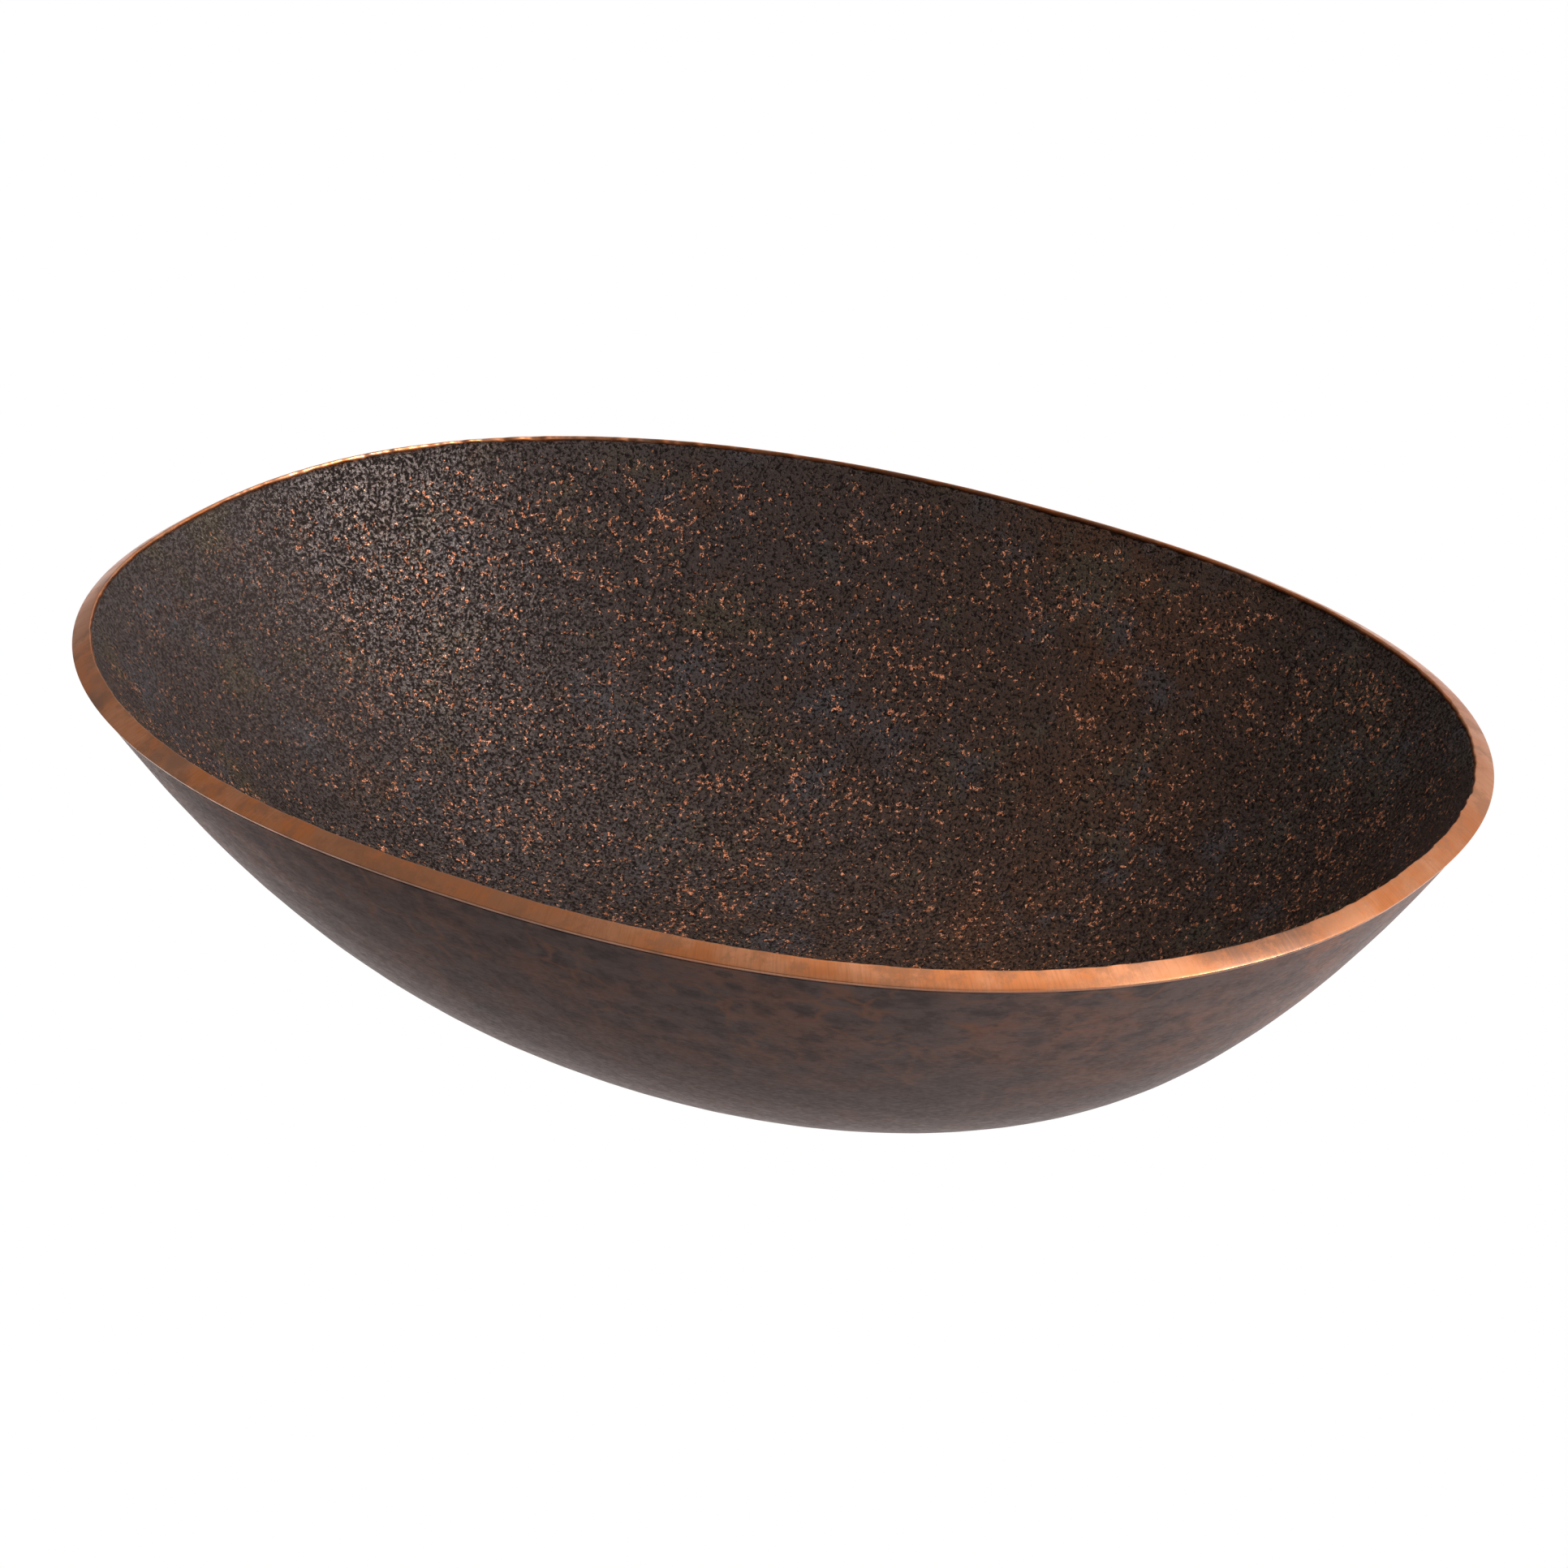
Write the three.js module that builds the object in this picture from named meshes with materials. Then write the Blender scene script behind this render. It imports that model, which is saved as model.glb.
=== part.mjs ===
// Double-walled oval copper bowl, in millimetres, +Z up.
//
// Two raised copper sheets, an outer shell and an inner liner, stand one inside the other. A flat
// strip that lies square across the wall closes them along the rim, and spacers keep them apart.
// The wall of every piece follows one surface, the outside of the shell. A point of the bowl is
// named by its angle round the bowl, its climb up the wall (-1 in the middle of the floor, 0 at
// the edge of the flat base, 1 at the rim) and its depth into the wall, square to that surface.
//
// The origin is on the surface that the bowl stands on, under the middle of the opening, and +X
// runs along the long axis of the oval.

import * as THREE from "three";

// Outside of the shell
const RIM_LENGTH = 456.4; // long axis at the rim
const RIM_WIDTH = 328.2; // short axis at the rim
const RIM_SQUARENESS = 2.25; // superellipse exponent of the rim, where 2 is a true ellipse
const BASE_LENGTH = 78; // long axis of the flat base
const BASE_WIDTH = 58; // short axis of the flat base
const BASE_SQUARENESS = 1.9; // superellipse exponent of the edge of the flat base
const SHELL_DEPTH = 113.8; // from the flat base up to the rim
const FLARE_ALONG = 2.55; // on the long axis the wall rises as this power of its way out
const FLARE_ACROSS = 2.25; // and on the short axis as this one

// Wall
const SHELL_SHEET = 1.2; // thickness of the outer sheet
const LINER_SHEET = 1.2; // thickness of the inner sheet
const WALL_CAVITY = 3.6; // clear space between the two sheets

// Strip along the rim
const STRIP_THICKNESS = 1.6;
const STRIP_PROUD = 0.3; // how far it stands out past each face of the wall
const STRIP_CHAMFER = 0.3; // its broken edges

// Brazed joints
const BRAZE_FILM = 0.3; // filler between two brazed faces
const FILLET_LEG = 0.9; // braze fillets in the corners under the strip

// Spacers between the two sheets of the wall
const WALL_SPACER_COUNT = 4;
const WALL_SPACER_CLIMB = 0.62; // where on the wall their middles stand
const WALL_SPACER_WIDTH = 22; // along the rim
const WALL_SPACER_HEIGHT = 14; // up the wall

// C-shaped spacer between the two floors
const FLOOR_SPACER_INSET = 8; // from the edge of the flat base to its outer edge
const FLOOR_SPACER_BAND = 9; // width of its band
const FLOOR_SPACER_GAP = 24; // degrees left open, so that air reaches the vent

// Rivet that closes the vent, through which the wall breathes while it is brazed
const VENT_DIAMETER = 4;
const VENT_CLEARANCE = 0.3; // between the rivet and its hole, on the radius
const VENT_HEAD_DIAMETER = 9;
const VENT_HEAD_THICKNESS = 0.8;
const VENT_PEEN_DIAMETER = 6.4; // its upset end inside the wall
const VENT_PEEN_THICKNESS = 0.8;

// Felt pads that the bowl stands on
const PAD_DIAMETER = 14;
const PAD_THICKNESS = 2;
const PAD_INSET = 2; // from the edge of the flat base to a pad

// Fineness of the faceted surfaces
const TURNS = 72; // facets round the bowl
const WALL_STEPS = 12; // facets from the flat base up to the rim
const FLOOR_RING = -0.4; // climb of a ring of points in the floor
const ROUND_FACETS = 24; // facets round a pad or a rivet

const FULL_TURN = 2 * Math.PI;
const SMALL_STEP = 1e-3;
const WALL_THICKNESS = SHELL_SHEET + WALL_CAVITY + LINER_SHEET;
const SPACER_THICKNESS = WALL_CAVITY - 2 * BRAZE_FILM;
const SHEET_TOP = STRIP_THICKNESS + BRAZE_FILM; // from the rim down to the tops of the sheets

// A point of a superellipse with half axes of 1.
function onOval(angle, squareness) {
  const reach = (share) => Math.sign(share) * Math.abs(share) ** (2 / squareness);
  return [reach(Math.cos(angle)), reach(Math.sin(angle))];
}

// A point of the shell's outer face.
function onShell(angle, climb) {
  const up = Math.max(climb, 0);
  const across = up ** (FLARE_ALONG / FLARE_ACROSS);
  const inFloor = Math.min(climb + 1, 1);
  const halfLength = THREE.MathUtils.lerp(BASE_LENGTH, RIM_LENGTH, up) / 2;
  const halfWidth = THREE.MathUtils.lerp(BASE_WIDTH, RIM_WIDTH, across) / 2;
  const [x, y] = onOval(angle, THREE.MathUtils.lerp(BASE_SQUARENESS, RIM_SQUARENESS, up));
  const height = PAD_THICKNESS + SHELL_DEPTH * up ** FLARE_ALONG;
  return new THREE.Vector3(halfLength * inFloor * x, halfWidth * inFloor * y, height);
}

// The direction square to the shell, out of the bowl.
function outOfShell(angle, climb) {
  if (climb <= 0) return new THREE.Vector3(0, 0, -1);
  const ahead = onShell(angle + SMALL_STEP, climb).sub(onShell(angle - SMALL_STEP, climb));
  const upward = onShell(angle, climb + SMALL_STEP).sub(onShell(angle, climb - SMALL_STEP));
  return ahead.cross(upward).normalize();
}

// A point of the wall.
function inWall(angle, climb, depth) {
  return onShell(angle, climb).addScaledVector(outOfShell(angle, climb), -depth);
}

// The climb at a distance below the rim, measured down the wall.
function climbBelow(angle, distance) {
  const slope = onShell(angle, 1).distanceTo(onShell(angle, 1 - SMALL_STEP)) / SMALL_STEP;
  return 1 - distance / slope;
}

// A corner of a sheet's facets, counted in steps from the flat base up to its top edge.
function sheetCorner(angle, step, depth) {
  return inWall(angle, (climbBelow(angle, SHEET_TOP) * step) / WALL_STEPS, depth);
}

// A point between the corners of a sheet's facets, counted in facets round and up the wall.
function onFacets(turn, step, depth) {
  const [turnBefore, stepBelow] = [Math.floor(turn), Math.floor(step)];
  const corner = (t, s) => sheetCorner((t / TURNS) * FULL_TURN, s, depth);
  const level = (s) => corner(turnBefore, s).lerp(corner(turnBefore + 1, s), turn - turnBefore);
  return level(stepBelow).lerp(level(stepBelow + 1), step - stepBelow);
}

// A solid that runs all the way round the bowl. Its section is a list of functions that place a
// point of it at an angle, and either closes on itself or starts and ends on the bowl's axis.
function roundTheBowl(section) {
  const profile = section.map((place) => new THREE.Vector2(place(0).x, place(0).z));
  const ring = new THREE.LatheGeometry(profile, TURNS);
  const position = ring.getAttribute("position");
  for (let turn = 0; turn <= TURNS; turn++) {
    const angle = ((turn % TURNS) / TURNS) * FULL_TURN;
    section.forEach((place, i) => {
      position.setXYZ(turn * section.length + i, ...place(angle));
    });
  }
  return ring;
}

// The section of a sheet's face at a depth, from a middle point of the floor up to the top.
function sheetFace(depth, middle) {
  const ring = (angle) => inWall(angle, FLOOR_RING, depth);
  const wall = Array.from({ length: WALL_STEPS + 1 }, (_, step) => (angle) =>
    sheetCorner(angle, step, depth),
  );
  return [middle, ring, ...wall];
}

// The outer sheet, with the vent's hole in the middle of its floor.
function outerShell() {
  const radius = VENT_DIAMETER / 2 + VENT_CLEARANCE;
  const hole = (depth) => (angle) =>
    new THREE.Vector3(radius * Math.cos(angle), radius * Math.sin(angle), PAD_THICKNESS + depth);
  const outer = sheetFace(0, hole(0));
  const inner = sheetFace(SHELL_SHEET, hole(SHELL_SHEET));
  return roundTheBowl([...outer, ...inner.reverse(), outer[0]]);
}

// The inner sheet.
function innerLiner() {
  const middle = (depth) => () => inWall(0, -1, depth);
  const back = WALL_THICKNESS - LINER_SHEET;
  const outer = sheetFace(back, middle(back));
  const inner = sheetFace(WALL_THICKNESS, middle(WALL_THICKNESS));
  return roundTheBowl([...outer, ...inner.reverse()]);
}

// The strip along the rim, square to the wall, with the corners of its face broken.
function rimStrip() {
  const corner = (depth, below) => (angle) => inWall(angle, climbBelow(angle, below), depth);
  const outside = -STRIP_PROUD;
  const inside = WALL_THICKNESS + STRIP_PROUD;
  return roundTheBowl([
    corner(outside, STRIP_THICKNESS),
    corner(outside, STRIP_CHAMFER),
    corner(outside + STRIP_CHAMFER, 0),
    corner(inside - STRIP_CHAMFER, 0),
    corner(inside, STRIP_CHAMFER),
    corner(inside, STRIP_THICKNESS),
    corner(outside, STRIP_THICKNESS),
  ]);
}

// A braze fillet in the corner between the strip and a sheet. Its outer and inner edges under the
// strip are given as depths, and heel is the one that lies against the sheet.
function brazeFillet(outer, inner, heel) {
  const corner = (depth, below) => (angle) =>
    inWall(angle, climbBelow(angle, SHEET_TOP + below), depth);
  return roundTheBowl([
    corner(heel, FILLET_LEG),
    corner(outer, 0),
    corner(inner, 0),
    corner(heel, FILLET_LEG),
  ]);
}

// A block between the two sheets, curved as they are, with its middle at an angle.
function wallSpacer(middle) {
  const block = new THREE.BoxGeometry(1, 1, 1, 4, 1, 4);
  const position = block.getAttribute("position");
  const turn = (middle / FULL_TURN) * TURNS;
  const step = WALL_SPACER_CLIMB * WALL_STEPS;
  const depth = SHELL_SHEET + BRAZE_FILM;
  const centre = onFacets(turn, step, depth);
  const perTurn = onFacets(turn + 1, step, depth).distanceTo(centre);
  const perStep = onFacets(turn, step + 1, depth).distanceTo(centre);
  for (let i = 0; i < position.count; i++) {
    const place = onFacets(
      turn + (position.getX(i) * WALL_SPACER_WIDTH) / perTurn,
      step + (position.getZ(i) * WALL_SPACER_HEIGHT) / perStep,
      depth + SPACER_THICKNESS * (position.getY(i) + 0.5),
    );
    position.setXYZ(i, ...place);
  }
  return block;
}

// The C-shaped plate between the two floors.
function floorSpacer() {
  const start = THREE.MathUtils.degToRad(FLOOR_SPACER_GAP / 2);
  const end = FULL_TURN - start;
  const halfLength = BASE_LENGTH / 2 - FLOOR_SPACER_INSET;
  const halfWidth = BASE_WIDTH / 2 - FLOOR_SPACER_INSET;
  const outline = new THREE.Shape();
  outline.absellipse(0, 0, halfLength, halfWidth, start, end, false);
  outline.absellipse(
    0,
    0,
    halfLength - FLOOR_SPACER_BAND,
    halfWidth - FLOOR_SPACER_BAND,
    end,
    start,
    true,
  );
  outline.closePath();
  return new THREE.ExtrudeGeometry(outline, {
    depth: SPACER_THICKNESS,
    bevelEnabled: false,
    curveSegments: ROUND_FACETS,
  });
}

// The rivet in the vent, its head under the base and its upset end inside the wall.
function ventPlug() {
  const headTop = PAD_THICKNESS - BRAZE_FILM;
  const headBottom = headTop - VENT_HEAD_THICKNESS;
  const peenBottom = PAD_THICKNESS + SHELL_SHEET + BRAZE_FILM;
  const peenTop = peenBottom + VENT_PEEN_THICKNESS;
  const profile = [
    [0, headBottom],
    [VENT_HEAD_DIAMETER / 2, headBottom],
    [VENT_HEAD_DIAMETER / 2, headTop],
    [VENT_DIAMETER / 2, headTop],
    [VENT_DIAMETER / 2, peenBottom],
    [VENT_PEEN_DIAMETER / 2, peenBottom],
    [VENT_PEEN_DIAMETER / 2, peenTop],
    [0, peenTop],
  ];
  const points = profile.map(([radius, height]) => new THREE.Vector2(radius, height));
  return new THREE.LatheGeometry(points, ROUND_FACETS).rotateX(Math.PI / 2);
}

function feltPad() {
  const radius = PAD_DIAMETER / 2;
  const pad = new THREE.CylinderGeometry(radius, radius, PAD_THICKNESS, ROUND_FACETS);
  return pad.rotateX(Math.PI / 2);
}

// The middle of a pad, reached from the edge of the flat base at an angle.
function padPlace(angle) {
  const edge = inWall(angle, 0, 0);
  const outward = onShell(angle + SMALL_STEP, 0)
    .sub(onShell(angle - SMALL_STEP, 0))
    .cross(new THREE.Vector3(0, 0, 1))
    .normalize();
  edge.addScaledVector(outward, -(PAD_DIAMETER / 2 + PAD_INSET));
  return edge.setZ(PAD_THICKNESS / 2);
}

const metal = (color, roughness) =>
  new THREE.MeshStandardMaterial({ color, roughness, metalness: 1 });

const bowl = new THREE.Group();

function add(name, geometry, material) {
  const mesh = new THREE.Mesh(geometry, material);
  mesh.name = name;
  bowl.add(mesh);
  return mesh;
}

add("outer_shell", outerShell(), metal(0x6b5750, 0.45));
add("inner_liner", innerLiner(), metal(0x3a302c, 0.6));
add("rim_strip", rimStrip(), metal(0xc87a48, 0.3));

const shellInside = SHELL_SHEET + BRAZE_FILM;
const linerBack = SHELL_SHEET + WALL_CAVITY - BRAZE_FILM;
const shellFillet = brazeFillet(shellInside, shellInside + FILLET_LEG, shellInside);
const linerFillet = brazeFillet(linerBack - FILLET_LEG, linerBack, linerBack);
add("shell_braze_fillet", shellFillet, metal(0xb0714a, 0.45));
add("liner_braze_fillet", linerFillet, metal(0xb0714a, 0.45));

for (let i = 0; i < WALL_SPACER_COUNT; i++) {
  const middle = ((i + 0.5) / WALL_SPACER_COUNT) * FULL_TURN;
  add(`wall_spacer_${i + 1}`, wallSpacer(middle), metal(0xa8643f, 0.5));
}

const spacer = add("floor_spacer", floorSpacer(), metal(0xa8643f, 0.5));
spacer.position.z = PAD_THICKNESS + SHELL_SHEET + BRAZE_FILM;

add("vent_plug", ventPlug(), metal(0x8a5a42, 0.5));

const feltLook = { color: 0x2b2724, roughness: 0.95, metalness: 0 };
for (let i = 0; i < 4; i++) {
  const pad = add(`felt_pad_${i + 1}`, feltPad(), new THREE.MeshStandardMaterial(feltLook));
  pad.position.copy(padPlace(((i + 0.5) / 4) * FULL_TURN));
}

export default bowl;
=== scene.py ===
import math

import bpy
import numpy as np
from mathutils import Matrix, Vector


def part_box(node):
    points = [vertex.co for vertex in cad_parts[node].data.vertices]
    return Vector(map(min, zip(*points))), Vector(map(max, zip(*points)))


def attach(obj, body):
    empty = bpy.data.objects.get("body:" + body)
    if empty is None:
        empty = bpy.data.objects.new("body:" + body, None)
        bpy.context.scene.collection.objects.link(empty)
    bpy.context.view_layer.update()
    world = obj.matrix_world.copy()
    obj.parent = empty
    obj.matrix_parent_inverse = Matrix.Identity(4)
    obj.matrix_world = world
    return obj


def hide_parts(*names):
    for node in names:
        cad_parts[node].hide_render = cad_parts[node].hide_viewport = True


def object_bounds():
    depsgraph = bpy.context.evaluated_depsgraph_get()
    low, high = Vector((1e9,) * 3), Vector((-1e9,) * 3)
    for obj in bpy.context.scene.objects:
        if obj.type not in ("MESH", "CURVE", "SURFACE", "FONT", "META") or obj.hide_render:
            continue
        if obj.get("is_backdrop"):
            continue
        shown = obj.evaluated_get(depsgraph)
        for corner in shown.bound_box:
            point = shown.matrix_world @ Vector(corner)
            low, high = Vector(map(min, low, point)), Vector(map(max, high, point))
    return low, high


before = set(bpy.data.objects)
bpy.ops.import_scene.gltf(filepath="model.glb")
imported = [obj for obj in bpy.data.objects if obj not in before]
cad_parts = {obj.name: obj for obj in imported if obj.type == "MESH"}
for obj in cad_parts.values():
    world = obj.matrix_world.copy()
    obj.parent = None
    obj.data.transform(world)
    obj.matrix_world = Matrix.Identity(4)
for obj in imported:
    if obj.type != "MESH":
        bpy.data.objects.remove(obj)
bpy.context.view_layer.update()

MM = 0.001
FULL_TURN = 2 * math.pi

# ---------------------------------------------------------------------------------------------
# The bowl's sizes, which are those of its CAD solids
# ---------------------------------------------------------------------------------------------

PAD_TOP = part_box("felt_pad_1")[1].z  # the flat base of the shell lies here
HALF_LENGTH = 228.2 * MM  # of the shell at the rim
HALF_WIDTH = 164.1 * MM
RIM_SQUARENESS = 2.25
BASE_HALF_LENGTH = 39 * MM
BASE_HALF_WIDTH = 29 * MM
BASE_SQUARENESS = 1.9
SHELL_DEPTH = 113.8 * MM
FLARE_ALONG = 2.55
FLARE_ACROSS = 2.25
SHEET = 1.2 * MM  # thickness of each sheet
WALL = 6.0 * MM  # from the outside of the shell to the inside of the liner
STRIP = 1.6 * MM  # thickness of the strip along the rim
STRIP_PROUD = 0.3 * MM  # how far the strip stands out past each face of the wall
VENT_HOLE = 2.3 * MM  # radius of the hole round the vent plug

# ---------------------------------------------------------------------------------------------
# Repeatable noise
# ---------------------------------------------------------------------------------------------

LOW_BITS = 0xFFFFFFFF
# odd numbers that scatter the bits
SPREAD_X, SPREAD_Y, SPREAD_Z, SPREAD_SEED = 73856093, 19349663, 83492791, 668265263
STIR_FIRST, STIR_SECOND = 73244475, 48271
STIRS = 2


def hashed(cell, seed):
    """Numbers from 0 to 1 that depend only on whole-number cells and a seed."""
    bits = cell[..., 0] * SPREAD_X ^ cell[..., 1] * SPREAD_Y ^ cell[..., 2] * SPREAD_Z
    bits = (bits ^ seed * SPREAD_SEED) & LOW_BITS
    for _ in range(STIRS):
        bits = ((bits ^ bits >> 15) * STIR_FIRST) & LOW_BITS
        bits = ((bits ^ bits >> 13) * STIR_SECOND) & LOW_BITS
    return (bits ^ bits >> 16) / LOW_BITS


def noise(points, size, seed):
    """Smooth noise from -1 to 1 with features of about that size."""
    scaled = points / size
    cell = np.floor(scaled).astype(np.int64)
    part = scaled - cell
    part = part * part * (3 - 2 * part)
    total = np.zeros(len(scaled))
    for corner in np.ndindex(2, 2, 2):
        weight = np.prod(np.where(corner, part, 1 - part), axis=1)
        total += weight * hashed(cell + np.array(corner), seed)
    return 2 * total - 1


def dents(points, size, seed):
    """0 in the middle of scattered round dents of about that size, and 1 between them."""
    scaled = points / size
    home = np.floor(scaled).astype(np.int64)
    nearest = np.full(len(scaled), np.inf)
    for step in np.ndindex(3, 3, 3):
        cell = home + np.array(step) - 1
        place = cell + np.stack([hashed(cell, seed + k) for k in range(3)], axis=1)
        nearest = np.minimum(nearest, np.linalg.norm(scaled - place, axis=1))
    return np.minimum(nearest, 1)


def smooth(low, high, value):
    """A smooth step from 0 to 1 as the value goes from low to high."""
    share = np.clip((value - low) / (high - low), 0, 1)
    return share * share * (3 - 2 * share)


# ---------------------------------------------------------------------------------------------
# The wall, drawn from the outside of the shell as in the CAD solids: a point is named by its
# angle, its climb (-1 mid floor, 0 edge of the flat base, 1 rim) and its depth into the wall
# ---------------------------------------------------------------------------------------------

SMALL = 1e-3  # step in angle or climb from which slopes are measured


def oval(angle, squareness):
    """A point of a unit oval, which is a circle at squareness 2."""

    def reach(share):
        return np.sign(share) * np.abs(share) ** (2 / squareness)

    return reach(np.cos(angle)), reach(np.sin(angle))


def on_shell(angle, climb):
    """Points on the outside of the shell."""
    up = np.maximum(climb, 0)
    across = up ** (FLARE_ALONG / FLARE_ACROSS)
    in_floor = np.minimum(climb + 1, 1)
    x, y = oval(angle, BASE_SQUARENESS + (RIM_SQUARENESS - BASE_SQUARENESS) * up)
    half_length = BASE_HALF_LENGTH + (HALF_LENGTH - BASE_HALF_LENGTH) * up
    half_width = BASE_HALF_WIDTH + (HALF_WIDTH - BASE_HALF_WIDTH) * across
    height = PAD_TOP + SHELL_DEPTH * up**FLARE_ALONG
    return np.stack([half_length * in_floor * x, half_width * in_floor * y, height], axis=-1)


def out_of_shell(angle, climb):
    """Unit vectors square to the outside of the shell."""
    safe = np.maximum(climb, SMALL)
    ahead = on_shell(angle + SMALL, safe) - on_shell(angle - SMALL, safe)
    upward = on_shell(angle, safe + SMALL) - on_shell(angle, safe - SMALL)
    out = np.cross(ahead, upward)
    out /= np.linalg.norm(out, axis=-1, keepdims=True)
    out[climb <= 0] = (0, 0, -1)
    return out


def in_wall(angle, climb, depth):
    """Points at that depth into the wall."""
    angle, climb, depth = np.broadcast_arrays(angle, climb, depth)
    return on_shell(angle, climb) - out_of_shell(angle, climb) * depth[..., None]


def climb_below(angle, distance):
    """The climb of a point that distance below the rim."""
    top = np.ones_like(angle)
    slope = np.linalg.norm(on_shell(angle, top) - on_shell(angle, top - SMALL), axis=-1) / SMALL
    return 1 - distance / slope


# ---------------------------------------------------------------------------------------------
# Meshes
# ---------------------------------------------------------------------------------------------

RIM_POINTS = 768  # round the top of each sheet
FEWEST_POINTS = 24  # round its smallest ring
FINE_RINGS = 200  # from the middle of the floor to the rim on a face that shows
PLAIN_RINGS = 30  # and on one that doesn't
FULLEST = 0.75  # a ring is halved when its share of the rim is below this share of its points
CLIMB_SAMPLES = 2001  # from which even spacing along the surface is worked out
FADE = 0.008  # climb over which relief fades at the top edge of a sheet
BACK_CLEAR = 0.1 * MM  # between the strip and the back of the liner
HOLE_CLEAR = 1.2  # hole radii, closer than which no ring lies round the vent hole
CRUST_TOP = 1.4 * MM  # below the rim, where the liner's crust ends on the inside of the strip


def turn_points(count):
    """That many angles, evenly spaced round one turn."""
    return np.arange(count) / count * FULL_TURN


def join(first_a, count_a, first_b, count_b):
    """Faces between two rings, which have as many points as each other, or twice or half."""
    faces = []
    if count_a < count_b:
        for j in range(count_a):
            a, b = first_a + j, first_a + (j + 1) % count_a
            c, d, e = (first_b + (2 * j + k) % count_b for k in range(3))
            faces += [(a, c, d), (a, d, b), (b, d, e)]
    elif count_a > count_b:
        for j in range(count_b):
            a, b = first_b + j, first_b + (j + 1) % count_b
            c, d, e = (first_a + (2 * j + k) % count_a for k in range(3))
            faces += [(c, a, d), (d, a, b), (d, b, e)]
    else:
        for j in range(count_a):
            k = (j + 1) % count_a
            faces.append((first_a + j, first_b + j, first_b + k, first_a + k))
    return faces


def loft(rings, closed):
    """Points and faces of a surface through rings. Unless it closes on its first ring, its first
    and last rings are single points."""
    firsts = np.concatenate([[0], np.cumsum([len(ring) for ring in rings])]).tolist()
    faces = []
    for k in range(len(rings) - 1):
        count_a, count_b = len(rings[k]), len(rings[k + 1])
        if count_a == 1:
            faces += [(firsts[k], firsts[k + 1] + j, firsts[k + 1] + (j + 1) % count_b)
                      for j in range(count_b)]
        elif count_b == 1:
            faces += [(firsts[k] + j, firsts[k + 1], firsts[k] + (j + 1) % count_a)
                      for j in range(count_a)]
        else:
            faces += join(firsts[k], count_a, firsts[k + 1], count_b)
    if closed:
        faces += join(firsts[-2], len(rings[-1]), 0, len(rings[0]))
    return np.concatenate(rings), faces


def piece(name, surface, material, replaces):
    """A mesh that stands for a CAD node, and moves with the bowl."""
    points, faces = surface
    mesh = bpy.data.meshes.new(name)
    mesh.from_pydata(points.tolist(), [], faces)
    mesh.polygons.foreach_set("use_smooth", [True] * len(mesh.polygons))
    mesh.materials.append(material)
    made = bpy.data.objects.new(name, mesh)
    bpy.context.scene.collection.objects.link(made)
    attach(made, "root")
    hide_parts(replaces)


def climbs_to_rim(rings):
    """Climbs from the middle of the floor to the rim, evenly spaced along the surface."""
    climb = np.linspace(-1, 1, CLIMB_SAMPLES)
    line = on_shell(np.full(len(climb), math.pi / 4), climb)
    length = np.concatenate([[0], np.cumsum(np.linalg.norm(np.diff(line, axis=0), axis=1))])
    return np.interp(np.linspace(0, length[-1], rings + 1)[1:], length, climb)


def ring_count(climb):
    """Points in a ring, halved as the rings shrink."""
    edge, rim = on_shell(np.full(2, math.pi / 4), np.array([climb, 1.0]))
    share = math.hypot(edge[0], edge[1]) / math.hypot(rim[0], rim[1])
    count = RIM_POINTS
    while count > FEWEST_POINTS and share < FULLEST * count / RIM_POINTS:
        count //= 2
    return count


def crust_edge(angle):
    """How far below the rim the liner's ragged crust ends."""
    rim = on_shell(angle, np.ones_like(angle))
    return CRUST_TOP + 0.30 * MM * noise(rim, 7 * MM, 41) + 0.22 * MM * noise(rim, 2.5 * MM, 43)


def face_of_sheet(rings, depth, below_rim, relief=None):
    """Rings of a sheet's face from its floor to its top edge, which lies as far below the rim as
    that function of the angle says. The relief, if there is one, is the height of the face above
    its plain surface."""
    made = []
    for climb in climbs_to_rim(rings):
        angle = turn_points(ring_count(climb))
        top = climb_below(angle, below_rim(angle))
        climbs = np.where(climb > 0, climb * top, climb)
        points = in_wall(angle, climbs, depth)
        if relief:
            points += out_of_shell(angle, climbs) * relief(points, top - climbs)[:, None]
        made.append(points)
    return made


def fade(distance):
    """From 0 at the top edge of a sheet to 1 a little way down it."""
    return smooth(0, FADE, distance)


def liner_relief(points, below):
    """Lumps, round peening dents and grain."""
    lumps = 0.25 * noise(points, 28 * MM, 3) + 0.10 * noise(points, 11 * MM, 5)
    peened = 0.19 * (dents(points, 5.2 * MM, 7) - 0.5)
    grain = 0.08 * noise(points, 3.2 * MM, 13)
    return -(lumps + peened + grain) * MM * fade(below)


def shell_relief(points, below):
    """Lumps and broad hammer marks."""
    lumps = 0.2 * noise(points, 45 * MM, 17)
    hammered = 0.16 * (dents(points, 13 * MM, 19) - 0.5)
    return (lumps + hammered - 0.1) * MM * fade(below)


def liner():
    """The inner sheet, closed at its middle on both faces."""
    middle = np.array([[0.0, 0.0, PAD_TOP + WALL]])
    behind = np.array([[0.0, 0.0, PAD_TOP + WALL - SHEET]])
    front = face_of_sheet(FINE_RINGS, WALL, crust_edge, liner_relief)
    back = face_of_sheet(PLAIN_RINGS, WALL - SHEET, lambda angle: STRIP + BACK_CLEAR)
    return loft([middle, *front, *back[::-1], behind], closed=False)


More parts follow.
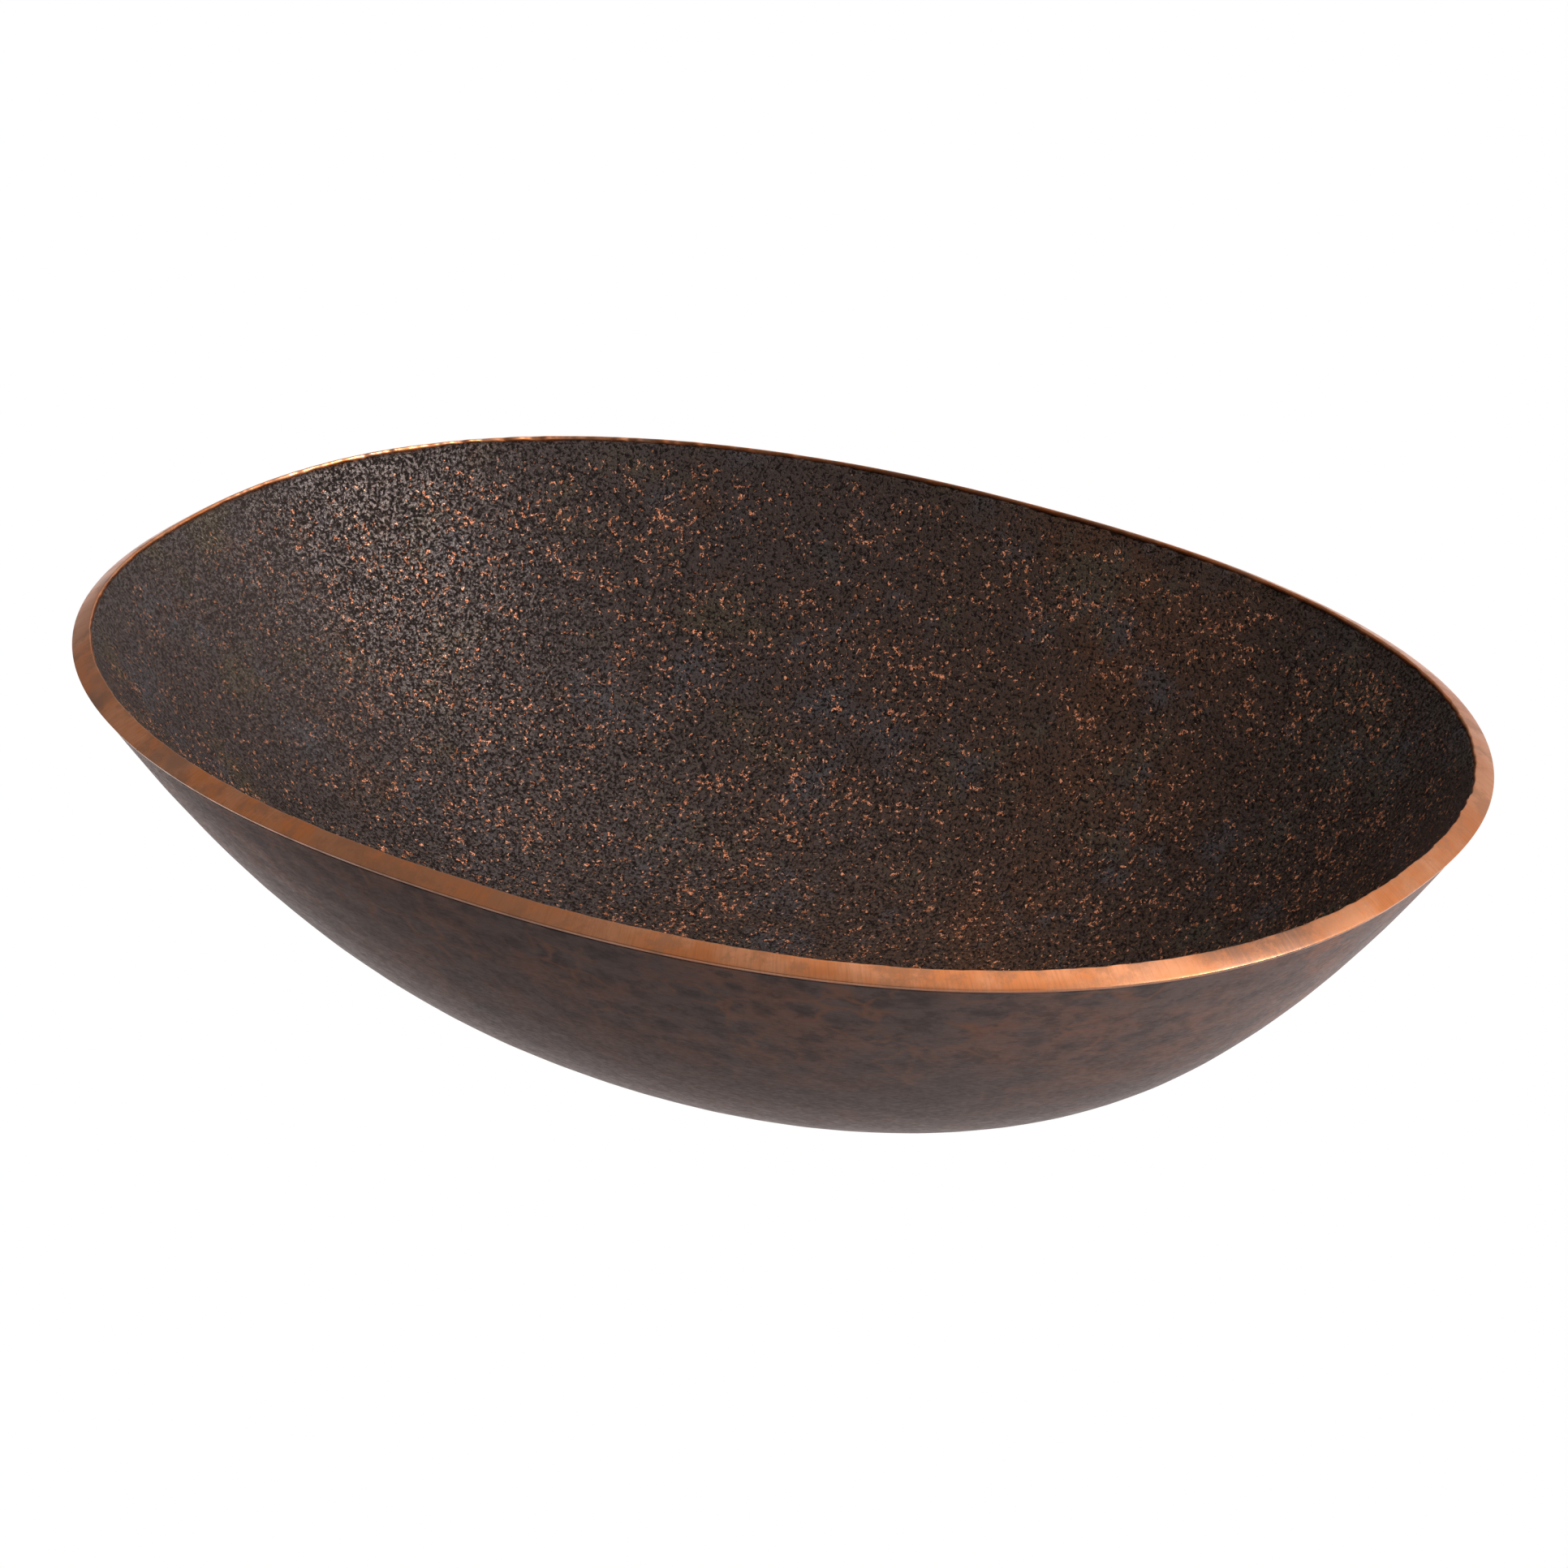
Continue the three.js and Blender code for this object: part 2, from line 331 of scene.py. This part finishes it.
def shell():
    """The outer sheet, closed round the vent hole."""
    around = turn_points(FEWEST_POINTS)
    hole = np.stack([VENT_HOLE * np.cos(around), VENT_HOLE * np.sin(around), 0 * around], axis=-1)
    low, high = hole + (0, 0, PAD_TOP), hole + (0, 0, PAD_TOP + SHEET)

    def outside_hole(rings):
        least = HOLE_CLEAR * VENT_HOLE
        return [ring for ring in rings if np.linalg.norm(ring[:, :2], axis=1).min() > least]

    outer = outside_hole(face_of_sheet(FINE_RINGS, 0.0, lambda angle: STRIP, shell_relief))
    inner = outside_hole(face_of_sheet(PLAIN_RINGS, SHEET, lambda angle: STRIP))
    return loft([high, *inner, *outer[::-1], low], closed=True)


# The strip's section runs from its inner foot over its face to its outer foot, as depths into the
# wall and distances below the rim
STRIP_POINTS = 1536  # round the rim
CORNER_STEPS = 5  # in each rounded corner of the face
FACE_STEPS = 8  # across the face
INNER_CORNER = 0.35 * MM  # radius
OUTER_CORNER = 0.13 * MM
CROWN = 0.12 * MM  # how far the middle of the face stands up
FOOT_INSET = 0.2 * MM  # of its feet from the outside of the shell and the back of the liner


def strip():
    """The flat strip that closes the wall, with its ragged inner lip."""
    angle = turn_points(STRIP_POINTS)
    rim = on_shell(angle, np.ones_like(angle))
    ragged = 0.26 * MM * noise(rim, 3.5 * MM, 23) + 0.16 * MM * noise(rim, 1.6 * MM, 29)
    ragged *= 0.5 + smooth(-60 * MM, 60 * MM, rim[:, 1])  # more on the far side than on the near one
    wander = 0.18 * MM * noise(rim, 24 * MM, 31)
    waves = 0.08 * MM * noise(rim, 14 * MM, 37)
    crust = crust_edge(angle)
    inner_edge = WALL + STRIP_PROUD + ragged + wander
    outer_edge = -STRIP_PROUD

    def ring(depth, below):
        return in_wall(angle, climb_below(angle, below), depth)

    rings = [ring(WALL - SHEET - FOOT_INSET, STRIP)]
    rings.append(ring(WALL - 0.3 * MM, crust + 0.05 * MM))
    rings.append(ring(inner_edge - 0.05 * MM, crust - 0.1 * MM))
    for turn in np.linspace(0, math.pi / 2, CORNER_STEPS):
        in_from_edge = INNER_CORNER * (1 - math.cos(turn))
        rings.append(ring(inner_edge - in_from_edge, INNER_CORNER * (1 - math.sin(turn)) + waves))
    for share in np.linspace(0, 1, FACE_STEPS + 2)[1:-1]:
        rise = CROWN * math.sin(math.pi * share)
        inner, outer = inner_edge - INNER_CORNER, outer_edge + OUTER_CORNER
        rings.append(ring(inner + (outer - inner) * share, waves * (1 - share) - rise))
    for turn in np.linspace(math.pi / 2, 0, CORNER_STEPS):
        in_from_edge = OUTER_CORNER * (1 - math.cos(turn))
        rings.append(ring(outer_edge + in_from_edge, OUTER_CORNER * (1 - math.sin(turn))))
    rings.append(ring(outer_edge + 0.1 * MM, STRIP - 0.15 * MM))
    rings.append(ring(FOOT_INSET, STRIP))
    return loft(rings, closed=True)


# ---------------------------------------------------------------------------------------------
# Materials, whose sizes and places are in millimetres
# ---------------------------------------------------------------------------------------------

MEAN_RIM_RADIUS = 200.0
MIX_SHARE, MIX_A, MIX_B, MIX_RESULT = 0, 6, 7, 2  # the sockets of a Mix node that mixes colours


def add_node(tree, kind, values, **settings):
    """A shader node with those settings. Its inputs are linked to sockets or set to values."""
    made = tree.nodes.new(kind)
    for key, value in settings.items():
        setattr(made, key, value)
    for key, value in values.items():
        if isinstance(value, bpy.types.NodeSocket):
            tree.links.new(value, made.inputs[key])
        elif value is not None:
            made.inputs[key].default_value = value
    return made


class Look:
    """A material's nodes, made by short calls that pass sockets to each other. Textures are laid
    through the solid in the bowl's own coordinates, in millimetres."""

    def __init__(self, name):
        self.material = bpy.data.materials.new(name)
        self.material.use_nodes = True
        self.tree = self.material.node_tree
        self.tree.nodes.clear()
        coordinates = self.tree.nodes.new("ShaderNodeTexCoord")
        self.place = self.vector("SCALE", coordinates.outputs["Object"], scale=1 / MM)

    def node(self, kind, values, **settings):
        return add_node(self.tree, kind, values, **settings)

    def coordinates(self):
        """The three numbers of a place, as sockets named X, Y and Z."""
        return self.node("ShaderNodeSeparateXYZ", {"Vector": self.place}).outputs

    def stretched(self, x, y, z):
        """Coordinates in which textures are shorter along an axis with a larger number."""
        return self.vector("MULTIPLY", self.place, (x, y, z))

    def vector(self, operation, a, b=None, scale=None):
        values = {0: a, 1: b}
        if scale is not None:
            values = {0: a, "Scale": scale}
        return self.node("ShaderNodeVectorMath", values, operation=operation).outputs["Vector"]

    def math(self, operation, a, b=None, c=None):
        return self.node("ShaderNodeMath", {0: a, 1: b, 2: c}, operation=operation).outputs["Value"]

    def times(self, a, b):
        return self.math("MULTIPLY", a, b)

    def noise(self, size, detail=2.0, roughness=0.5, place=None, seed=0.0):
        """Noise about 0.5 with features of that size."""
        moved = self.vector("ADD", place or self.place, (seed, -2 * seed, 3 * seed))
        values = {"Vector": moved, "Scale": 1 / size, "Detail": detail, "Roughness": roughness}
        return self.node("ShaderNodeTexNoise", values).outputs["Fac"]

    def cells(self, size, feature, place, smoothness=None):
        """Distances in scattered cells of that size."""
        values = {"Vector": place, "Scale": 1 / size}
        if smoothness is not None:
            values["Smoothness"] = smoothness
        return self.node("ShaderNodeTexVoronoi", values, feature=feature).outputs["Distance"]

    def warped(self, size, amount, place=None):
        """Coordinates pushed about by noise, so that cells lose their straight borders."""
        place = place or self.place
        push = self.node("ShaderNodeTexNoise", {"Vector": place, "Scale": 1 / size, "Detail": 2.0})
        centred = self.vector("SUBTRACT", push.outputs["Color"], (0.5, 0.5, 0.5))
        return self.vector("ADD", place, self.vector("SCALE", centred, scale=amount))

    def ramp(self, value, low, high, start=0.0, end=1.0):
        """A smooth step from start to end as the value goes from low to high."""
        values = {"Value": value, "From Min": low, "From Max": high, "To Min": start, "To Max": end}
        node = self.node("ShaderNodeMapRange", values, interpolation_type="SMOOTHSTEP")
        return node.outputs["Result"]

    def mix(self, share, a, b):
        """Colour a, with that share of colour b."""
        values = {MIX_SHARE: share}
        for key, colour in ((MIX_A, a), (MIX_B, b)):
            values[key] = (*colour, 1.0) if isinstance(colour, tuple) else colour
        return self.node("ShaderNodeMix", values, data_type="RGBA").outputs[MIX_RESULT]

    def bump(self, height, depth):
        """A bump whose height of 0 to 1 stands for that depth in millimetres."""
        values = {"Height": height, "Distance": depth * MM, "Strength": 1.0}
        return self.node("ShaderNodeBump", values).outputs["Normal"]

    def finish(self, colour, roughness, metallic, normal, **constants):
        """The material, with those sockets or values on its shader."""
        values = {"Base Color": colour, "Roughness": roughness, "Metallic": metallic,
                  "Normal": normal, **constants}
        shader = self.node("ShaderNodeBsdfPrincipled", values)
        output = self.node("ShaderNodeOutputMaterial", {"Surface": shader.outputs["BSDF"]})
        output.is_active_output = True
        return self.material


def liner_look():
    """A dark crust, pitted, with short curls of bare copper."""
    look = Look("liner_patina_look")
    at = look.coordinates()
    warped = look.warped(4.0, 2.0)
    crust = look.noise(1.1, 4.0, 0.75, place=warped)
    grain = look.noise(0.55, 2.0, 0.6, seed=3.0)
    quiet = look.times(look.ramp(at["X"], -120.0, -200.0), look.ramp(at["Y"], 60.0, 0.0))
    bare = bare_copper_share(look, at, warped, quiet)
    # the pits: dark oxide, and painted shade for the shadow in their hollows
    pits = look.ramp(crust, 0.425, 0.54, 1.0, 0.0)
    pits = look.times(pits, look.ramp(quiet, 0.0, 1.0, 1.0, 0.75))

    colour = crust_colour(look, at, grain, pits)
    patchy = look.ramp(look.noise(1.6, 2.0, seed=41.0), 0.35, 0.62)
    copper = look.mix(patchy, (0.52, 0.165, 0.062), (1.0, 0.41, 0.22))
    colour = look.mix(bare, colour, copper)

    # a pit is near-black metal and reflects almost nothing: dark oxide, with painted shade for the
    # shadow in its hollow
    metallic = look.math("MAXIMUM", look.times(bare, 0.6), look.times(pits, 0.78))
    smooth_plates = look.ramp(crust, 0.42, 0.54, 0.75, 0.26)
    roughness = look.math("MAXIMUM", smooth_plates, look.times(bare, 0.42))
    relief = look.math("MULTIPLY_ADD", grain, 0.2, crust)
    relief = look.math("MULTIPLY_ADD", pits, -0.45, relief)
    normal = look.bump(relief, 0.20)
    wax = {"Specular Tint": (1.0, 0.81, 0.74, 1.0), "Specular IOR Level": 0.6}
    return look.finish(colour, roughness, metallic, normal, **wax)


def bare_copper_share(look, at, warped, quiet):
    """Short curls in clusters, with hardly any just under the rim and dull ones at the left end."""
    curls = look.noise(0.85, 1.0, 0.5, seed=7.0)
    off_curl = look.math("ABSOLUTE", look.math("SUBTRACT", curls, 0.5))
    curl = look.ramp(off_curl, 0.04, 0.09, 1.0, 0.0)
    worn = look.noise(1.5, 2.0, 0.5, place=warped, seed=17.0)
    clusters = look.noise(9.0, 3.0, 0.6, seed=11.0)
    regions = look.noise(46.0, 2.0, 0.5, seed=23.0)
    near_rim = look.ramp(at["Z"], 110.5, 116.0)
    left_end = look.ramp(at["X"], -190.0, -225.0)
    for cause, weight in ((clusters, 0.34), (regions, 0.16), (near_rim, -0.12), (left_end, -0.04)):
        worn = look.math("MULTIPLY_ADD", cause, weight, worn)
    bare = look.times(look.ramp(worn, 0.855, 0.91), curl)
    bare = look.math("MAXIMUM", bare, look.ramp(worn, 0.995, 1.035))
    return look.times(bare, look.ramp(quiet, 0.0, 1.0, 1.0, 0.45))


def crust_colour(look, at, grain, pits):
    """Near-black brown with rusty, grey and earthy drifts, warmer to the right, black in pits as
    dark oxide and painted shade, and painted shade at the far right.
    """
    dark = (0.006, 0.0042, 0.0034)
    cool_brown, warm_brown = (0.042, 0.030, 0.027), (0.052, 0.024, 0.013)
    grey, olive, rust = (0.052, 0.049, 0.054), (0.060, 0.044, 0.026), (0.075, 0.027, 0.009)
    colour = look.mix(look.ramp(at["X"], -150.0, 60.0), cool_brown, warm_brown)
    to_the_right = look.ramp(at["X"], -20.0, 90.0, -0.1, 0.13)
    rusty = look.math("ADD", look.noise(38.0, 5.0, 0.65, seed=47.0), to_the_right)
    colour = look.mix(look.ramp(rusty, 0.46, 0.64, 0.0, 0.8), colour, rust)
    # painted shade: the far right of the inside is darkened by its place alone
    painted_shade_far_right = look.times(look.ramp(at["X"], 40.0, 130.0), look.ramp(at["Y"], 20.0, 90.0))
    colour = look.mix(look.times(painted_shade_far_right, 0.6), colour, dark)
    cool = look.noise(30.0, 5.0, 0.65, seed=31.0)
    colour = look.mix(look.ramp(cool, 0.52, 0.66, 0.0, 0.8), colour, grey)
    earthy = look.noise(34.0, 5.0, 0.65, seed=61.0)
    colour = look.mix(look.ramp(earthy, 0.54, 0.66, 0.0, 0.8), colour, olive)
    colour = look.mix(look.ramp(grain, 0.35, 0.55, 0.45, 0.0), colour, dark)
    # the pits turn near-black: dark oxide, with painted shade for their hollows
    return look.mix(look.times(pits, 0.9), colour, dark)


def shell_look():
    """Waxed brown, mottled and streaked, with dark hammer marks and rusty lines near the rim, and
    painted shade darkening it towards the base.
    """
    look = Look("shell_patina_look")
    at = look.coordinates()
    flat = look.stretched(1.0, 1.0, 1.35)
    warped = look.warped(10.0, 9.0, place=flat)
    hammered = look.cells(13.0, "SMOOTH_F1", warped, smoothness=0.35)
    net = look.cells(13.0, "DISTANCE_TO_EDGE", warped)
    drift = look.noise(38.0, 5.0, 0.65, place=flat, seed=5.0)
    mottle = look.noise(9.0, 5.0, 0.7, place=flat, seed=29.0)
    fine = look.noise(2.2, 4.0, 0.6, place=look.stretched(1.0, 1.0, 3.2), seed=9.0)
    streaks = look.noise(12.0, 4.0, 0.65, place=look.stretched(1.0, 1.0, 7.0), seed=15.0)
    patchy = look.ramp(look.noise(22.0, 3.0, 0.6, seed=21.0), 0.42, 0.62)
    near_rim = look.ramp(at["Z"], 45.0, 105.0, 0.25, 1.0)
    # painted shade: the colour darkens by height towards the base, for the shadowed floor that the
    # lower wall would reflect
    painted_shade_towards_base = look.ramp(at["Z"], 95.0, 45.0, 0.1, 0.66)

    brown, grey = (0.153, 0.070, 0.050), (0.097, 0.064, 0.058)
    black, rust = (0.018, 0.0145, 0.0155), (0.165, 0.067, 0.036)
    colour = look.mix(look.ramp(drift, 0.40, 0.60), brown, grey)
    # painted shade towards the base
    colour = look.mix(painted_shade_towards_base, colour, black)
    colour = look.mix(look.ramp(mottle, 0.36, 0.56, 0.65, 0.0), colour, black)
    colour = look.mix(look.ramp(streaks, 0.54, 0.70, 0.0, 0.4), colour, black)
    spots = look.times(look.ramp(hammered, 0.10, 0.45, 0.62, 0.0), near_rim)
    colour = look.mix(spots, colour, black)
    lines = look.times(look.ramp(net, 0.0, 0.12, 1.0, 0.0), patchy)
    lines = look.times(lines, look.times(near_rim, 0.8))
    colour = look.mix(lines, colour, rust)

    roughness = look.ramp(fine, 0.3, 0.7, 0.38, 0.52)
    normal = look.bump(look.math("MULTIPLY_ADD", fine, 0.12, hammered), 0.12)
    wax = {"Specular Tint": (1.0, 0.74, 0.68, 1.0), "Specular IOR Level": 0.62}
    return look.finish(colour, roughness, 0.4, normal, **wax)


def strip_look():
    """Bright copper, brushed across its width, with stains and two tarnished stretches."""
    look = Look("bright_copper_look")
    at = look.coordinates()
    drift = look.noise(20.0, 4.0, 0.65, seed=3.0)
    patches = look.noise(11.0, 5.0, 0.72, seed=13.0)
    smears = look.noise(34.0, 3.0, 0.6, seed=19.0)

    # the brush lines change fast along the rim and slowly in every other direction
    squared = look.times(at["Y"], HALF_LENGTH / HALF_WIDTH)
    along = look.times(look.math("ARCTAN2", squared, at["X"]), MEAN_RIM_RADIUS)
    fast = look.node("ShaderNodeCombineXYZ", {"X": along}).outputs["Vector"]
    slow = look.vector("SCALE", look.place, scale=0.08)
    brushed = look.noise(0.8, 3.0, 0.65, place=look.vector("ADD", slow, fast), seed=7.0)

    colour = look.mix(look.ramp(drift, 0.38, 0.62), (0.68, 0.23, 0.084), (0.73, 0.31, 0.155))
    colour = look.mix(look.ramp(patches, 0.48, 0.63, 0.0, 0.75), colour, (0.42, 0.19, 0.10))
    colour = look.mix(look.ramp(smears, 0.56, 0.70, 0.0, 0.7), colour, (0.30, 0.17, 0.12))
    off_middle = look.math("ABSOLUTE", look.math("ADD", at["X"], 10.0))
    tarnish = look.times(look.ramp(off_middle, 20.0, 90.0, 1.0, 0.0), look.ramp(drift, 0.3, 0.6))
    colour = look.mix(look.times(tarnish, 0.6), colour, (0.34, 0.15, 0.08))
    off_scorch = look.math("ABSOLUTE", look.math("ADD", at["Y"], 62.0))
    scorch = look.ramp(off_scorch, 8.0, 34.0, 1.0, 0.0)
    scorch = look.times(scorch, look.ramp(at["X"], 150.0, 190.0))
    scorch = look.times(scorch, look.ramp(patches, 0.36, 0.56, 0.4, 0.95))
    colour = look.mix(scorch, colour, (0.20, 0.10, 0.065))
    colour = look.mix(look.ramp(brushed, 0.44, 0.66, 0.0, 0.36), colour, (0.45, 0.18, 0.08))
    roughness = look.ramp(patches, 0.4, 0.7, 0.29, 0.42)
    return look.finish(colour, roughness, 1.0, look.bump(brushed, 0.008))


def plain_copper_look(name, colour, oxide, roughness):
    """Copper inside the wall or under the base: rolled, with blotches of oxide from the heat."""
    look = Look(name)
    blotch = look.noise(7.0, 4.0, 0.65)
    rolled = look.noise(0.9, 3.0, 0.6, place=look.stretched(0.15, 1.0, 1.0))
    tone = look.mix(look.ramp(blotch, 0.42, 0.66), colour, oxide)
    rough = look.ramp(blotch, 0.3, 0.7, roughness, roughness + 0.2)
    return look.finish(tone, rough, 1.0, look.bump(rolled, 0.04))


def felt_look():
    """Dark grey felt with loose fibres."""
    look = Look("felt_look")
    fibres = look.noise(0.7, 4.0, 0.75)
    matted = look.noise(3.0, 3.0, 0.6, seed=4.0)
    colour = look.mix(look.ramp(fibres, 0.3, 0.7), (0.012, 0.010, 0.009), (0.05, 0.043, 0.038))
    height = look.math("MULTIPLY_ADD", matted, 0.6, fibres)
    rough = look.ramp(matted, 0.3, 0.7, 0.88, 1.0)
    sheen = {"Sheen Weight": 0.4, "Sheen Roughness": 0.5}
    return look.finish(colour, rough, 0.0, look.bump(height, 0.35), **sheen)


# ---------------------------------------------------------------------------------------------
# The bowl
# ---------------------------------------------------------------------------------------------

piece("hammered_shell", shell(), shell_look(), "outer_shell")
piece("peened_liner", liner(), liner_look(), "inner_liner")
piece("brushed_rim_strip", strip(), strip_look(), "rim_strip")

braze = plain_copper_look("braze_look", (0.62, 0.30, 0.15), (0.22, 0.12, 0.08), 0.35)
bare_copper = plain_copper_look("bare_copper_look", (0.56, 0.25, 0.14), (0.16, 0.08, 0.06), 0.4)
looks = {"fillet": braze, "spacer": bare_copper, "vent": bare_copper, "felt": felt_look()}
for name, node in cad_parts.items():
    for word, look in looks.items():
        if word in name:
            node.data.materials.clear()
            node.data.materials.append(look)

# ---------------------------------------------------------------------------------------------
# Studio
# ---------------------------------------------------------------------------------------------


def towards(azimuth, elevation):
    """A direction from the bowl, where azimuth 0 is along -Y and 90 is along +X, in degrees."""
    turn, rise = math.radians(azimuth), math.radians(elevation)
    level = math.cos(rise)
    return Vector((math.sin(turn) * level, -math.cos(turn) * level, math.sin(rise)))


def face(thing, direction):
    """Turns a camera or light at that direction from the bowl to look back at it."""
    thing.rotation_euler = direction.to_track_quat("Z", "Y").to_euler()


CAMERA_AZIMUTH = 34.45
CAMERA_ELEVATION = 25.39
CAMERA_DISTANCE = 1.9893


def camera():
    """The camera looks at the middle of the rim through a long lens with a little shift."""
    lens = bpy.data.cameras.new("camera")
    lens.lens = 149.8
    lens.sensor_width = 36.0
    lens.shift_x = 0.01025
    lens.shift_y = -0.0600
    lens.clip_end = 50.0
    made = bpy.data.objects.new("camera", lens)
    back = towards(CAMERA_AZIMUTH, CAMERA_ELEVATION)
    target = Vector((0, 0, PAD_TOP + SHELL_DEPTH))
    made.location = target + back * CAMERA_DISTANCE
    face(made, back)
    bpy.context.scene.collection.objects.link(made)
    bpy.context.scene.camera = made


def softbox(name, place, side, radiance):
    """A square area light above the bowl, given by its brightness as a surface."""
    light = bpy.data.lights.new(name, "AREA")
    light.shape = "SQUARE"
    light.size = side
    light.energy = radiance * math.pi * side * side
    made = bpy.data.objects.new(name, light)
    made.location = place
    middle_of_bowl = Vector((0, 0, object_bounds()[1][2] / 2))
    face(made, Vector(place) - middle_of_bowl)
    bpy.context.scene.collection.objects.link(made)


FLOOR_RADIUS = 12.0
FLOOR_POINTS = 64


def floor():
    """A pale floor that shows plain white, so that the bowl stands on a clear ground."""
    look = bpy.data.materials.new("floor_look")
    look.use_nodes = True
    nodes = look.node_tree.nodes
    nodes.clear()
    glow = nodes.new("ShaderNodeEmission")
    output = nodes.new("ShaderNodeOutputMaterial")
    look.node_tree.links.new(glow.outputs[0], output.inputs[0])
    around = turn_points(FLOOR_POINTS)
    ring = FLOOR_RADIUS * np.stack([np.cos(around), np.sin(around), 0 * around], axis=-1)
    mesh = bpy.data.meshes.new("floor")
    mesh.from_pydata(ring.tolist(), [], [tuple(range(FLOOR_POINTS))])
    mesh.materials.append(look)
    made = bpy.data.objects.new("floor", mesh)
    made.visible_diffuse = False
    made.visible_glossy = False
    made.visible_shadow = False
    bpy.context.scene.collection.objects.link(made)
    made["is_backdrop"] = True


# each lobe's azimuth and elevation, the cosines of the angles from its middle at which it begins
# and is full, and its brightness
LOBES = [
    (0, 90, -1.0, 1.0, 0.15),
    (150, 15, 0.2, 0.85, 0.54),
    (90, 60, 0.5, 0.95, 0.16),
    (160, -60, 0.0, 1.0, 0.28),
    (140, -45, 0.3, 1.0, 0.40),
    (237, -39, 0.6, 1.0, 0.18),
    (222, -25, 0.84, 1.0, 0.85),
    (270, 35, 0.3, 0.9, 0.22),
    (75, -15, 0.4, 0.9, 1.0),
]


def surroundings():
    """White to the camera. The bowl sees a dim room with soft bright lobes round it."""
    world = bpy.data.worlds.new("studio")
    bpy.context.scene.world = world
    world.use_nodes = True
    tree = world.node_tree
    tree.nodes.clear()

    def node(kind, values, **settings):
        return add_node(tree, kind, values, **settings)

    direction = node("ShaderNodeTexCoord", {}).outputs["Generated"]
    total = None
    for azimuth, elevation, edge, middle, brightness in LOBES:
        towards_lobe = {0: direction, 1: towards(azimuth, elevation)}
        along = node("ShaderNodeVectorMath", towards_lobe, operation="DOT_PRODUCT").outputs["Value"]
        fall = {"Value": along, "From Min": edge, "From Max": middle, "To Max": brightness}
        lobe = node("ShaderNodeMapRange", fall, interpolation_type="SMOOTHSTEP").outputs["Result"]
        total = lobe if total is None else node("ShaderNodeMath", {0: total, 1: lobe}).outputs[0]
    studio = node("ShaderNodeBackground", {"Color": (1, 1, 1, 1), "Strength": total})
    white = node("ShaderNodeBackground", {"Color": (1, 1, 1, 1), "Strength": 1.0})
    seen = node("ShaderNodeLightPath", {}).outputs["Is Camera Ray"]
    both = node("ShaderNodeMixShader", {0: seen, 1: studio.outputs[0], 2: white.outputs[0]})
    node("ShaderNodeOutputWorld", {"Surface": both.outputs[0]})


camera()
floor()
surroundings()
softbox("key", place=(1.12, 0.10, 0.97), side=0.45, radiance=36.0)
softbox("overhead", place=(0.20, 0.25, 1.75), side=1.1, radiance=0.84)
bpy.context.scene.view_settings.view_transform = "Standard"
